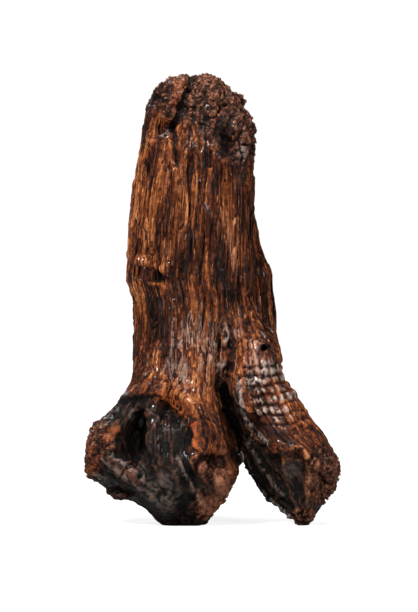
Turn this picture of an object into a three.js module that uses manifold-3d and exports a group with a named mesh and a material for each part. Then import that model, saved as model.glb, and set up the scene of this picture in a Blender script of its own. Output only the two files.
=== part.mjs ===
// Mangrove driftwood: a weathered trunk stump that stands on two broken roots in front
// and a root stub behind.
// It grew as one piece, so it is one mesh. Units are millimetres, +Z is up, and the front faces -Y.
// The origin is on the floor, under the middle of the piece.
import * as THREE from "three";
import { ImprovedNoise } from "three/addons/math/ImprovedNoise.js";
import { mergeVertices } from "three/addons/utils/BufferGeometryUtils.js";
import Module from "manifold-3d";

const wasm = await Module();
wasm.setup();
const noise = new ImprovedNoise();

// Driving sizes
const WOOD_COLOUR = 0x4a2413;
const FIBRE_HEIGHT = 1.7; // how far the long ridges of the weathered grain stand up
const CRUMB_HEIGHT = 2.6; // how rough the rotten crown and the broken ends are
const FRONT_CROWDING = 0.35; // the share by which a ring's points crowd towards the front
const LUMP_DETAIL = 1; // how finely a rotten chunk is faceted
const HOLE_RADIUS = 2.7; // the bored hole in the right root
const HOLE_DEPTH = 16;
const RIPPLE_PITCH = 6.4; // the pressed folds across the right root
const RIPPLE_HEIGHT = 1.5;
const RIPPLE_TOP = 108.8;
const RIPPLE_BOTTOM = 64;
const TRIM_DEPTH = 40; // what is cleared away below the floor, to leave small flats to stand on

// How far apart the rings of points are: height, then spacing. They are close where the carving is fine.
const TRUNK_SPACING = [
  [300, 2], [290, 3.6], [240, 4.6], [226, 12], [118, 12], [100, 5], [88, 3.6], [10, 3.6], [-6, 5],
];
const ROOT_SPACING = [
  [152, 8], [113, 4.2], [108.8, RIPPLE_PITCH / 2], [64, RIPPLE_PITCH / 2], [60, 3.8], [-5, 4],
];
const PLAIN_SPACING = [[220, 14], [-6, 11]];

// A stem is listed by level: height, left and right edge, front and back face.
// The trunk runs down into the left root.
const TRUNK = [
  [298, -19, -1, -5, 7],
  [295, -30, 5, -11, 12],
  [289, -37, 11, -17, 18],
  [281, -42.5, 17, -22, 22],
  [271, -46, 22.5, -26, 26],
  [260, -47.5, 26.5, -29, 28],
  [247, -48.5, 27, -32, 30],
  [232, -51.5, 25, -34, 31],
  [214, -54, 25, -34, 32],
  [196, -55.8, 25, -34, 32],
  [182, -55.5, 25, -34, 32],
  [172, -56.5, 25, -34, 31],
  [164, -57.5, 25, -34, 31],
  [156, -55, 25, -34, 31],
  [146, -52, 26, -34, 31],
  [136, -52, 28, -34.5, 31],
  [128, -52.3, 28, -35, 30],
  [121, -52.3, 25, -36, 30],
  [114, -52.3, 20, -38, 29],
  [104, -53, 13, -41, 28],
  [94, -55.5, 8, -45, 28],
  [86, -60.5, 5, -49, 27],
  [77, -67, 5, -53, 26],
  [69, -76, 8, -56, 25],
  [61, -82, 12, -59, 24],
  [52, -85, 15, -60, 23],
  [43, -85, 17, -60, 22],
  [35, -83, 16, -58, 20],
  [27, -75, 13, -54, 18],
  [19, -62, 9, -50, 16],
  [12, -49, 5, -45, 13],
  [6, -42, 0, -41, 9],
  [0, -36, -5, -36, 2],
  [-5, -30, -12, -30, -8],
];
const FLANK = [
  [222, 2, 21, 6, 22],
  [209, 2, 25.5, 3, 25],
  [195, 2, 29.5, 0, 27],
  [183, 2, 32, -2, 28],
  [174, 2, 37, -3, 28],
  [166, 2, 39.8, -4, 28],
  [156, 2, 39.5, -5, 27],
  [142, 2, 40.5, -7, 26],
  [126, 2, 41.5, -10, 24],
  [110, 4, 42, -14, 24],
  [94, 8, 42, -16, 22],
  [78, 12, 44, -18, 18],
];
const RIGHT_ROOT = [
  [156, 8, 22, -20, 10],
  [148, 8, 25, -24, 12],
  [140, 8, 28.5, -28, 14],
  [131, 8.5, 34, -32, 17],
  [122, 9, 40.5, -36, 20],
  [114, 9, 43.3, -39, 21],
  [107, 9, 43.5, -41, 22],
  [100, 8, 44.5, -42, 23],
  [93, 8, 48, -44, 24],
  [85, 7, 54, -46, 24],
  [77, 6, 59.5, -48, 24],
  [69, 5, 64, -50, 24],
  [61, 5, 70.5, -51, 24],
  [53, 8, 76.5, -52, 23],
  [44, 12, 81, -52, 22],
  [36, 16, 83, -50, 20],
  [28, 21, 82, -47, 17],
  [20, 28, 77, -44, 13],
  [12, 38, 71, -40, 6],
  [4, 50, 66, -36, -6],
  [-4, 56, 61, -30, -16],
];
const BACK_ROOT = [
  [196, -36, 8, 2, 24],
  [172, -38, 9, 4, 30],
  [150, -40, 10, 6, 34],
  [126, -41, 11, 8, 37],
  [98, -42, 11, 8, 42],
  [70, -43, 9, 10, 48],
  [45, -42, 6, 14, 54],
  [25, -38, 2, 20, 58],
  [10, -33, -2, 26, 58],
  [0, -28, -7, 31, 55],
  [-6, -23, -11, 35, 51],
];

// Rotten chunks sunk into the crown, and knobs of the left root: centre, then radius
const CROWN_LUMPS = [
  [-31, -4, 283, 11],
  [-22, 2, 287, 10],
  [-7, 0, 289, 11],
  [4, -4, 283, 10],
  [11, 2, 277, 10],
  [16, -4, 269, 9],
  [19, 0, 260, 10],
  [-10, 14, 280, 11],
];
const ROOT_KNOBS = [
  [-72, -38, 58, 11],
  [-75, -34, 46, 10],
  [-73, -26, 37, 11],
  [-61, -30, 27, 11],
  [-61, -34, 68, 9],
  [13, -36, 45, 8],
  [39, -24, 109, 7],
];

// Dents seen from the front: centre across and up, half sizes, turn in degrees, depth,
// and where the wall starts
const DENTS = [
  { name: "shelf under the crown", at: [-31, 261], half: [11, 8], turn: 10, depth: 6, wall: 0.3 },
  { name: "pocket under the crown", at: [10, 253], half: [9, 11], turn: -20, depth: 6, wall: 0.3 },
  { name: "knot", at: [-41, 167], half: [9, 6], turn: -10, depth: 3, wall: 0.1 },
  { name: "hollow under the hood", at: [-28, 78], half: [16, 12], turn: -14, depth: 8, wall: 0.2 },
  { name: "flat of the broken end", at: [-32, 60], half: [24, 20], turn: 0, depth: 3, wall: 0.3 },
  { name: "grey chip", at: [-65, 31], half: [14, 9], turn: 25, depth: 6, wall: 0.2 },
  { name: "broken face of the right root", at: [51, 31], half: [14, 21], turn: 14, depth: 8, wall: 0.2 },
  { name: "chip at the right tip", at: [71, 20], half: [10, 12], turn: 30, depth: 4, wall: 0.2 },
];

// Strokes seen from the front: points across and up, half width, and height (below nought it is a furrow)
const STROKES = [
  {
    name: "hood rim",
    path: [[-71, 69], [-66, 79], [-58, 86], [-46, 91], [-35, 93], [-24, 89], [-14, 81], [-9, 68], [-11, 56]],
    width: 6,
    height: 3.5,
  },
  { name: "orange lip", path: [[-11, 80], [-2, 69], [8, 61], [14, 52]], width: 9, height: 2.5 },
  { name: "keel", path: [[-37, 84], [-39, 62], [-37, 44], [-31, 34]], width: 8, height: 4 },
  { name: "upper plank", path: [[-70, 51], [-58, 43], [-46, 33]], width: 5, height: 4 },
  { name: "lower plank", path: [[-63, 38], [-50, 28], [-42, 19]], width: 5, height: 4 },
  { name: "crumbling ridge", path: [[-15, 50], [-5, 38], [2, 27]], width: 5.5, height: 4 },
  { name: "swell of the middle", path: [[-28, 40], [-26, 20]], width: 16, height: 5 },
  {
    name: "edge of the right root",
    path: [[12, 113], [15, 100], [20, 87], [25, 75], [31, 66], [38, 57], [45, 50]],
    width: 5,
    height: 3,
  },
  { name: "brow of the right root", path: [[43, 50], [52, 52], [61, 48], [66, 40]], width: 4, height: 3.5 },
  { name: "spur of the right root", path: [[68, 47], [65, 28], [62, 7]], width: 5, height: 3 },
  {
    name: "crack across the crown",
    path: [[-13, 298], [-16, 288], [-20, 278], [-24, 269], [-28, 262]],
    width: 4.5,
    height: -6,
  },
  { name: "left ledge", path: [[-46, 257], [-36, 253], [-27, 252]], width: 4, height: 2 },
  { name: "right ledge", path: [[-11, 248], [2, 243], [15, 242], [26, 244]], width: 4, height: 1.6 },
  { name: "overhang", path: [[-2, 268], [8, 262], [17, 250]], width: 5, height: 2.5 },
  { name: "outer furrow", path: [[-42, 238], [-45, 205], [-47, 178]], width: 4, height: -2 },
  { name: "long furrow", path: [[-25, 228], [-29, 188], [-28, 148], [-34, 118]], width: 4, height: -1.8 },
  { name: "middle furrow", path: [[-5, 234], [-6, 195], [-6, 148], [-11, 115]], width: 4.5, height: -2 },
  { name: "inner furrow", path: [[10, 234], [9, 188], [10, 148], [6, 128]], width: 4, height: -2 },
  { name: "valley head", path: [[1, 130], [5, 114], [8, 98]], width: 9, height: -5 },
];

// Hollows cut right into the wood: centre, half sizes, then turn about the X, Y and Z axes in degrees
const HOLLOWS = [
  { name: "valley between the roots", at: [9, -54, 72], half: [7.5, 32, 44], turn: [0, -12, 0] },
  { name: "deep bay", at: [-57, -60, 59], half: [9, 29, 24], turn: [0, 6, -30] },
  { name: "scoop beside the lip", at: [3, -62, 44], half: [13, 17, 8.5], turn: [0, 22, 0] },
  { name: "slit under the chip", at: [-62, -52, 24], half: [12, 20, 2.6], turn: [0, 8, 0] },
  { name: "slot under the crown", at: [-23.5, -34, 246], half: [1.8, 10, 8], turn: [0, 0, 0] },
  { name: "notch of the crown", at: [1, -14, 297], half: [1.8, 18, 6], turn: [0, 10, 0] },
  { name: "lower notch of the crown", at: [23, -10, 276], half: [4, 18, 1.8], turn: [0, 30, 0] },
];
const HOLE_PLACE = [33, -34, 118];

// The inner side of the right root is broken off along a slanting plane: a point on it, and the way it faces
const INNER_BREAK = { at: [20, 4, 40], facing: [-0.82, -0.42, -0.4] };

// Turns a closed three.js geometry into a solid that can be joined and cut.
function solid(geometry) {
  geometry.deleteAttribute("normal");
  geometry.deleteAttribute("uv");
  const merged = mergeVertices(geometry, 1e-4);
  return new wasm.Manifold(
    new wasm.Mesh({
      numProp: 3,
      vertProperties: new Float32Array(merged.attributes.position.array),
      triVerts: new Uint32Array(merged.index.array),
    }),
  );
}

const ease = THREE.MathUtils.smoothstep;

// How far a dent pushes in at a place on the front.
function dentDepth({ at, half, turn, depth, wall }, x, z) {
  const angle = THREE.MathUtils.degToRad(turn);
  const across = (x - at[0]) * Math.cos(angle) + (z - at[1]) * Math.sin(angle);
  const up = (z - at[1]) * Math.cos(angle) - (x - at[0]) * Math.sin(angle);
  const reach = Math.hypot(across / half[0], up / half[1]);
  return depth * (1 - ease(reach, wall, 1.15));
}

// How far a stroke stands up at a place on the front.
function strokeHeight({ path, width, height }, x, z) {
  let nearest = Infinity;
  for (let i = 1; i < path.length; i++) {
    const [ax, az] = path[i - 1];
    const [bx, bz] = path[i];
    const share = ((x - ax) * (bx - ax) + (z - az) * (bz - az)) / ((bx - ax) ** 2 + (bz - az) ** 2);
    const t = THREE.MathUtils.clamp(share, 0, 1);
    nearest = Math.min(nearest, Math.hypot(x - ax - t * (bx - ax), z - az - t * (bz - az)));
  }
  return height * (1 - ease(nearest, 0, width));
}

// The carving of the front: how far the surface moves back at a place seen from the front.
function carving(x, z) {
  const dents = DENTS.reduce((sum, dent) => sum + dentDepth(dent, x, z), 0);
  return STROKES.reduce((sum, stroke) => sum - strokeHeight(stroke, x, z), dents);
}

// The size of a stem at one height, smoothly between its levels.
function levelReader(levels) {
  const outline = new THREE.CatmullRomCurve3(
    levels.map(([z, left, right]) => new THREE.Vector3(left, right, z)),
  );
  const depth = new THREE.CatmullRomCurve3(
    levels.map(([z, , , front, back]) => new THREE.Vector3(front, back, z)),
  );
  const steps = 20 * (levels.length - 1);
  const table = Array.from({ length: steps + 1 }, (_, i) => {
    const a = outline.getPoint(i / steps);
    const b = depth.getPoint(i / steps);
    return [a.z, a.x, a.y, b.x, b.y];
  });
  return (height) => between(table, height);
}

// Reads a table that is sorted from the highest level down.
function between(table, height) {
  let i = 1;
  while (i < table.length - 1 && table[i][0] > height) i++;
  const [above, below] = [table[i - 1], table[i]];
  const t = THREE.MathUtils.clamp((above[0] - height) / (above[0] - below[0] || 1), 0, 1);
  return above.map((value, k) => value + t * (below[k] - value));
}

// The heights of a stem's rings, from the top down.
function ringHeights(levels, spacing) {
  const bottom = levels.at(-1)[0];
  const heights = [];
  for (let z = levels[0][0]; z > bottom; z -= between(spacing, z)[1]) heights.push(z);
  return heights;
}

// Points round a rounded section, evenly spaced but closer together in front.
// The power above 2 flattens its sides as on a squared timber.
function section([z, left, right, front, back], sides, power) {
  const steps = 400;
  const bend = (v) => Math.sign(v) * Math.abs(v) ** (2 / power);
  const fine = Array.from({ length: steps + 1 }, (_, i) => {
    const angle = (2 * Math.PI * i) / steps;
    return new THREE.Vector3(
      (left + right) / 2 + (bend(Math.cos(angle)) * (right - left)) / 2,
      (front + back) / 2 + (bend(Math.sin(angle)) * (back - front)) / 2,
      z,
    );
  });
  const travel = [0];
  for (let i = 1; i <= steps; i++) travel.push(travel[i - 1] + fine[i].distanceTo(fine[i - 1]));
  let at = 1;
  return Array.from({ length: sides }, (_, i) => {
    const even = (2 * Math.PI * i) / sides;
    const share = (even - FRONT_CROWDING * (Math.cos(even) - 1)) / (2 * Math.PI);
    while (at < steps && travel[at] < share * travel[steps]) at++;
    const t = (share * travel[steps] - travel[at - 1]) / (travel[at] - travel[at - 1]);
    return fine[at - 1].clone().lerp(fine[at], THREE.MathUtils.clamp(t, 0, 1));
  });
}

// Two triangles over four corners, split along the shorter diagonal.
function quad(points, a, b, c, d) {
  const splitAC = points[a].distanceTo(points[c]) < points[b].distanceTo(points[d]);
  return splitAC ? [a, b, c, a, c, d] : [a, b, d, b, c, d];
}

// A stem: rings of points closed at both ends. relief(angle, point) raises the surface.
function stem(levels, { sides, spacing, power = 2.5, relief, carved = false }) {
  const read = levelReader(levels);
  const heights = ringHeights(levels, spacing);
  const points = [];
  const middles = [];
  heights.forEach((height) => {
    const level = read(height);
    const middle = new THREE.Vector3((level[1] + level[2]) / 2, (level[3] + level[4]) / 2, height);
    middles.push(middle);
    section(level, sides, power).forEach((point) => {
      const out = point.clone().sub(middle).normalize();
      point.addScaledVector(out, relief(Math.atan2(out.y, out.x), point));
      if (carved) point.y += carving(point.x, point.z) * ease(-out.y, 0.1, 0.6);
      points.push(point);
    });
  });
  const index = [];
  for (let r = 0; r < heights.length - 1; r++) {
    for (let i = 0; i < sides; i++) {
      const next = (i + 1) % sides;
      const below = r * sides;
      const above = below + sides;
      index.push(...quad(points, below + i, above + i, above + next, below + next));
    }
  }
  [0, heights.length - 1].forEach((r) => {
    points.push(middles[r]);
    for (let i = 0; i < sides; i++) {
      const a = r * sides + i;
      const b = r * sides + ((i + 1) % sides);
      index.push(...(r === 0 ? [points.length - 1, a, b] : [points.length - 1, b, a]));
    }
  });
  const geometry = new THREE.BufferGeometry().setFromPoints(points);
  geometry.setIndex(index);
  return solid(geometry);
}

// Weathered grain: long ridges and furrows that follow the stem and wander a little.
function fibres(angle, point) {
  const wander = angle + 0.3 * noise.noise(point.z * 0.015, 3.1, 0.5);
  const broad = noise.noise(3.6 * Math.cos(wander), 3.6 * Math.sin(wander), point.z * 0.012);
  const fine = noise.noise(8 * Math.cos(wander), 8 * Math.sin(wander), point.z * 0.022 + 7);
  return FIBRE_HEIGHT * (1.3 * broad + 1.4 * fine);
}

// Rotten wood: rounded crumbs with cracks between them.
function crumbs(point, size) {
  const coarse = noise.noise(point.x / size, point.y / size, point.z / size);
  const small = noise.noise((2.1 * point.x) / size, (2.1 * point.y) / size, (2.1 * point.z) / size);
  return CRUMB_HEIGHT * (Math.abs(coarse) * 2 - 0.6 + 0.6 * small);
}

// The folds that were pressed across the right root's front: the rings lie on their crests and troughs.
function ripples(point) {
  const inside = ease(point.z, RIPPLE_BOTTOM, RIPPLE_BOTTOM + RIPPLE_PITCH)
    * (1 - ease(point.z, RIPPLE_TOP - RIPPLE_PITCH, RIPPLE_TOP));
  return inside * RIPPLE_HEIGHT * Math.cos((2 * Math.PI * (RIPPLE_TOP - point.z)) / RIPPLE_PITCH);
}

function trunkRelief(angle, point) {
  const rotten = ease(point.z, 248, 268);
  const broken = 1 - ease(point.z, 40, 80);
  return fibres(angle, point) * (1 - 0.8 * rotten) * (1 - 0.6 * broken)
    + rotten * crumbs(point, 13)
    + 0.8 * broken * crumbs(point, 18);
}

function rightRootRelief(angle, point) {
  const broken = 1 - ease(point.z, 25, 60);
  const front = ease(-Math.sin(angle), 0, 0.3);
  const grain = 0.8 * (1 - 0.5 * broken) * fibres(angle, point);
  return grain + front * ripples(point) + 0.7 * broken * crumbs(point, 16);
}

// A rough ball of wood.
function lump([x, y, z, radius]) {
  const ball = new THREE.IcosahedronGeometry(radius, LUMP_DETAIL);
  const at = ball.attributes.position;
  const point = new THREE.Vector3();
  const place = new THREE.Vector3(x, y, z);
  for (let i = 0; i < at.count; i++) {
    point.fromBufferAttribute(at, i);
    const out = point.clone().normalize();
    const world = point.clone().add(place);
    point.addScaledVector(out, 0.7 * crumbs(world, 9)).add(place);
    at.setXYZ(i, point.x, point.y, point.z);
  }
  return solid(ball);
}

// A hollow is a smooth egg that is cut away.
function hollow({ at, half, turn }) {
  const egg = new THREE.SphereGeometry(1, 12, 8);
  const matrix = new THREE.Matrix4().compose(
    new THREE.Vector3(...at),
    new THREE.Quaternion().setFromEuler(new THREE.Euler(...turn.map(THREE.MathUtils.degToRad))),
    new THREE.Vector3(...half),
  );
  return solid(egg.applyMatrix4(matrix));
}

// A thick block with one face in the plane of a break; everything in front of that face is cut away.
function breakBlock({ at, facing }) {
  const size = 60;
  const block = new THREE.BoxGeometry(2 * size, 2 * size, size);
  block.translate(0, 0, size / 2);
  const out = new THREE.Vector3(...facing).normalize();
  block.applyQuaternion(new THREE.Quaternion().setFromUnitVectors(new THREE.Vector3(0, 0, 1), out));
  block.translate(...at);
  return solid(block);
}

function boredHole() {
  const drill = new THREE.CylinderGeometry(HOLE_RADIUS, HOLE_RADIUS * 0.8, 2 * HOLE_DEPTH, 12);
  drill.translate(...HOLE_PLACE);
  return solid(drill);
}

function floorTrim() {
  const block = new THREE.BoxGeometry(400, 400, TRIM_DEPTH);
  block.translate(0, 0, -TRIM_DEPTH / 2);
  return solid(block);
}

function driftwood() {
  const rightRoot = stem(RIGHT_ROOT, {
    sides: 38,
    spacing: ROOT_SPACING,
    power: 3,
    relief: rightRootRelief,
    carved: true,
  }).subtract(breakBlock(INNER_BREAK));
  let wood = stem(TRUNK, { sides: 56, spacing: TRUNK_SPACING, power: 3, relief: trunkRelief, carved: true });
  wood = wood.add(stem(FLANK, { sides: 18, spacing: PLAIN_SPACING, relief: fibres }));
  wood = wood.add(rightRoot);
  wood = wood.add(stem(BACK_ROOT, { sides: 17, spacing: PLAIN_SPACING, relief: fibres }));
  [...CROWN_LUMPS, ...ROOT_KNOBS].forEach((item) => (wood = wood.add(lump(item))));
  HOLLOWS.forEach((item) => (wood = wood.subtract(hollow(item))));
  wood = wood.subtract(boredHole()).subtract(floorTrim());
  return wood.decompose().reduce((a, b) => (a.volume() > b.volume() ? a : b));
}

// The solid as a three.js mesh, with its origin on the floor under the middle of its box.
function meshOf(piece, name) {
  const { vertProperties, triVerts } = piece.getMesh();
  const geometry = new THREE.BufferGeometry();
  geometry.setAttribute("position", new THREE.BufferAttribute(vertProperties, 3));
  geometry.setIndex(new THREE.BufferAttribute(triVerts, 1));
  geometry.computeBoundingBox();
  const middle = geometry.boundingBox.getCenter(new THREE.Vector3());
  geometry.translate(-middle.x, -middle.y, -geometry.boundingBox.min.z);
  geometry.computeVertexNormals();
  const mesh = new THREE.Mesh(
    geometry,
    new THREE.MeshStandardMaterial({ color: WOOD_COLOUR, roughness: 0.42, metalness: 0 }),
  );
  mesh.name = name;
  return mesh;
}

const group = new THREE.Group();
group.add(meshOf(driftwood(), "driftwood"));

export default group;
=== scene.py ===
"""A piece of mangrove driftwood: a damp, weathered trunk stump that stands on its broken roots."""

import math

import bpy
import numpy as np
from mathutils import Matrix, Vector, noise
from mathutils.bvhtree import BVHTree
from mathutils.kdtree import KDTree


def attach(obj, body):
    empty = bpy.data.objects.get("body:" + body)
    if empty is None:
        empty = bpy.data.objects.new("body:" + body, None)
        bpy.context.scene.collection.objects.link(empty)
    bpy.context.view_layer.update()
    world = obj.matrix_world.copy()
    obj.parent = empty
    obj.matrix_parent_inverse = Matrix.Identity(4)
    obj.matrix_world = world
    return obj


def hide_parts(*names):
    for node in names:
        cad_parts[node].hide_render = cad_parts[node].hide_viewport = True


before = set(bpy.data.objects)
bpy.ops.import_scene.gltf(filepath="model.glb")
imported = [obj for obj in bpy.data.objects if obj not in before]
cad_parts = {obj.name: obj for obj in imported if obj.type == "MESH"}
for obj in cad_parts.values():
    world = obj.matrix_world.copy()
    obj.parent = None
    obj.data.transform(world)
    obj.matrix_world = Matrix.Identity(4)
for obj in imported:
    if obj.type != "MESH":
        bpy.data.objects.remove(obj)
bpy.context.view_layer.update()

# The wood. It grew as one piece: a trunk with long open fibres, which divides into two roots in
# front and one behind. The solid's form is kept, its facets are rounded off, and the relief that
# rot, fire and water left is worked into the surface along the grain.

MM = 0.001
WELD = 0.01 * MM
VOXEL = 1.275 * MM

bpy.ops.object.select_all(action="DESELECT")
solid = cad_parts["driftwood"]
solid.select_set(True)
bpy.context.view_layer.objects.active = solid
bpy.ops.object.duplicate()
wood = bpy.context.object
wood.name = "driftwood_grain"
bpy.ops.object.mode_set(mode="EDIT")
bpy.ops.mesh.select_all(action="SELECT")
bpy.ops.mesh.remove_doubles(threshold=WELD)
bpy.ops.object.mode_set(mode="OBJECT")
remesh = wood.modifiers.new("even_net", "REMESH")
remesh.mode = "VOXEL"
remesh.voxel_size = VOXEL
bpy.ops.object.modifier_apply(modifier=remesh.name)
mesh = wood.data


def read_points():
    """The places of the net's points."""
    flat = np.empty(len(mesh.vertices) * 3)
    mesh.vertices.foreach_get("co", flat)
    return flat.reshape(-1, 3)


def write_points(points):
    """Moves the net's points."""
    mesh.vertices.foreach_set("co", points.ravel())
    mesh.update()


def read_normals():
    """Which way the wood faces at the net's points."""
    flat = np.empty(len(mesh.vertices) * 3)
    mesh.vertex_normals.foreach_get("vector", flat)
    return flat.reshape(-1, 3)


edges = np.empty(len(mesh.edges) * 2, int)
mesh.edges.foreach_get("vertices", edges)
edges = edges.reshape(-1, 2)
neighbours = np.bincount(edges.ravel(), minlength=len(mesh.vertices))[:, None]


def relaxed(values, passes, share=0.5):
    """Values at the points of the net, each moved towards the mean of its neighbours."""
    values = values.reshape(len(values), -1)
    for _ in range(passes):
        sums = [
            np.bincount(edges[:, 0], column[edges[:, 1]], len(column))
            + np.bincount(edges[:, 1], column[edges[:, 0]], len(column))
            for column in values.T
        ]
        values = values + share * (np.stack(sums, axis=1) / neighbours - values)
    return values


def ease(value, start, end):
    """A soft step from 0 at start to 1 at end."""
    t = np.clip((value - start) / (end - start), 0, 1)
    return t * t * (3 - 2 * t)


# The facets are rounded off, except round the bored hole and on the flats that the wood stands on
ROUNDING = 8  # passes
HOLE = (0.033, 0.118)  # its middle, across and up
HOLE_EDGE = (3.3, 4.8)  # kept as it is up to here, and rounded fully from there (mm)
FLAT_EDGE = (0.5, 3)  # the same, above the floor (mm)
points = read_points()
to_hole = np.hypot(points[:, 0] - HOLE[0], points[:, 2] - HOLE[1]) / MM
keep = np.maximum(1 - ease(to_hole, *HOLE_EDGE), 1 - ease(points[:, 2] / MM, *FLAT_EDGE))
keep[(to_hole < 5) & (points[:, 1] > 0)] = 0  # the hole is in the front only
rounded = relaxed(points, ROUNDING)
points = points + (rounded - points) * (1 - keep)[:, None]
write_points(points)

# How the fibres run. The trunk and its left root: height, left edge, right edge, middle of the depth (mm)
TRUNK = [
    (300, -40, 14, 0),
    (280, -43, 18, 0),
    (260, -48, 26, -1),
    (214, -54, 26, -1),
    (182, -56, 26, -1),
    (164, -58, 26, -1),
    (146, -52, 27, -2),
    (121, -52, 27, -3),
    (104, -53, 27, -7),
    (94, -56, 27, -9),
    (77, -68, 27, -14),
    (61, -82, 27, -18),
    (43, -85, 27, -19),
    (27, -75, 27, -18),
    (12, -50, 27, -16),
    (0, -36, 27, -17),
]
# The line where the grain parts between the two front roots, and the right root's inner edge: height, x (mm)
PARTING = [(150, 8), (114, 6), (86, 5), (70, 8), (60, 12), (50, 15), (40, 18), (24, 18), (10, 24), (0, 25)]
ROOT_EDGE = [
    (150, 8), (130, 9), (113, 12), (100, 15), (87, 20), (75, 25), (66, 31), (57, 38), (50, 45), (40, 50),
    (20, 58), (0, 62),
]
FORK = 150  # the grain parts below this height
SPLIT = 21  # the fibre that runs down to the fork
ACROSS_TRUNK = 80  # fibres are numbered by mm across, from one edge of the trunk to the other
ACROSS_LEFT = 60  # and across the left root


def between_rows(table, where, column=1):
    """A table's value at each place, between its rows."""
    rows = sorted(table)
    return np.interp(where, [row[0] for row in rows], [row[column] for row in rows])


def across_grain(x, z):
    """Where a place lies across the fibres (mm): the same number all along one fibre."""
    left, right = between_rows(TRUNK, z, 1), between_rows(TRUNK, z, 2)
    parting = between_rows(PARTING, z)
    in_trunk = (x - (left + right) / 2) / (right - left) * ACROSS_TRUNK
    in_left = SPLIT - (parting - x) * ACROSS_LEFT / (parting - left)
    in_right = SPLIT + x - between_rows(ROOT_EDGE, z)
    return np.where(z >= FORK, in_trunk, np.where(x < parting, in_left, in_right))


def grain_of(points):
    """The wood made straight: across and into it, which stay the same along a fibre, and along it (mm)."""
    x, y, z = (points / MM).T
    return np.stack([across_grain(x, z), y - between_rows(TRUNK, z, 3), z], axis=1)


def noise_at(points, size, seed=0.0):
    """Smooth noise from -1 to 1 at each point. The size is one number, or one for each direction."""
    scaled = points / np.asarray(size) + seed
    return np.array([noise.noise(Vector(p)) for p in scaled])


# Which places are broken and charred. Rags of noise break up their edges.
HOOD = [
    (-90, 74), (-74, 77), (-68, 82), (-62, 87), (-52, 88), (-43, 88), (-35, 86), (-28, 81), (-23, 76),
    (-16, 71), (-12, 64), (-11, 52), (6, 49), (18, 42), (30, 30),
]  # the rim over the left root's broken front: x, height (mm)
LEFT_BREAK = 58  # the left root is broken below here at its sides
LEFT_BREAK_BACK = 24  # as far back as this
INNER_BREAK = 98  # top of the right root's slanting inner break
RIGHT_BREAK = 47  # top of the right root's broken end, over its tip
RIGHT_TIP = 54  # where that is across
grain = grain_of(points)
x, y, z = (points / MM).T
ragged = noise_at(points / MM, 9) * 5 + noise_at(points / MM, 3.5, 7.3) * 2.5
torn = 3.0 * noise_at(points / MM, 5, 51.0) + 2.6 * noise_at(points / MM, (2.6, 2.6, 7), 52.0)
front = ease(-y, -12, 4)
left_side = x < between_rows(PARTING, z)
inward = between_rows(ROOT_EDGE, z) - x
broken_left = left_side * ease(between_rows(HOOD, x) + 0.25 * ragged + 1.1 * torn - z, -1, 2) * front
broken_side = left_side * ease(LEFT_BREAK + 1.6 * ragged - z, 0, 12) * (y < LEFT_BREAK_BACK)
broken_left = np.maximum(broken_left, broken_side)
inner_face = (~left_side) * ease(inward + 0.5 * ragged, 0, 5) * ease(INNER_BREAK - z, 0, 12)
end_face = (~left_side) * ease(RIGHT_BREAK + 0.9 * ragged - z - 0.3 * np.abs(x - RIGHT_TIP), 0, 6)
charred = np.clip(np.maximum(np.maximum(broken_left, inner_face), end_face), 0, 1)


def in_patch(points, at, half, turn=0):
    """How far out in an oval patch on the front each point is: 0 in its middle, 1 on its edge."""
    angle = math.radians(turn)
    dx, dz = points[:, 0] / MM - at[0], points[:, 2] / MM - at[1]
    along = (dx * math.cos(angle) + dz * math.sin(angle)) / half[0]
    up = (dz * math.cos(angle) - dx * math.sin(angle)) / half[1]
    return np.hypot(along, up)


# Which places are rotten: the crown above its lower edge, the knobs at the left, the left root's lower right
# and the right root's far end. A patch has a middle and half a size (mm), and a turn (degrees).
CRUMBLING = [
    ((-75, 58), (11, 12), 0),
    ((-81, 38), (6, 9), 0),
    ((-4, 41), (8, 13), 30),
    ((9, 30), (9, 14), 15),
    ((-1, 11), (14, 9), 0),
    ((75, 33), (13, 24), 12),
    ((60, 6), (8, 7), 0),
    ((30, 62), (14, 4), -45),
]
CROWN_EDGE = [
    (-60, 272), (-44, 278), (-36, 275), (-30, 270), (-20, 266), (-12, 268), (-5, 256), (4, 246), (14, 240),
    (30, 238),
]
round_the_side = 9 * noise_at(points / MM, (11, 11, 60), 77.0) * ease(y, -30, 0)
rot = ease(z + 1.1 * ragged + round_the_side - between_rows(CROWN_EDGE, x), -5, 6)
for at, half, turn in CRUMBLING:
    rot = np.maximum(rot, (1 - ease(in_patch(points, at, half, turn) + 0.05 * ragged, 0.75, 1.1)) * front)
charred *= 1 - rot
fibrous = (1 - rot) * (1 - 0.7 * charred)

WANDER = 2.6  # how far a fibre strays (mm)


def wander_at(points):
    """How the fibres stray from straight at each place (mm)."""
    sizes = (45, 45, 75)
    strays = [noise_at(points / MM, sizes, 3.0), noise_at(points / MM, sizes, 11.0), np.zeros(len(points))]
    return WANDER * np.stack(strays, axis=1)


# Fibres: broad furrows, ridges and thin open cracks that follow the grain, with their depths in mm
lay = grain + wander_at(points)
broad = noise_at(lay, (9, 9, 110))
ridges = noise_at(lay, (3.2, 3.2, 95), 5.5)
splits = noise_at(lay, (6.5, 6.5, 120), 9.1)
split = 1 - ease(np.abs(splits), 0.0, 0.16)
opened = ease(noise_at(lay, (16, 16, 60), 2.2), -0.25, 0.25)
fine = 1 - ease(np.abs(noise_at(lay, (4.2, 4.2, 80), 21.0)), 0.0, 0.14)
gully = 1 - ease(np.abs(noise_at(lay, (14, 14, 240), 37.0)), 0.02, 0.12)
flaw = noise_at(points / MM, (5, 5, 9), 61.0)
height = fibrous * (1.2 * broad + 0.7 * ridges + 0.5 * flaw - 2.2 * split * opened - 1.1 * fine - 0.3 * gully)


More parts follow.
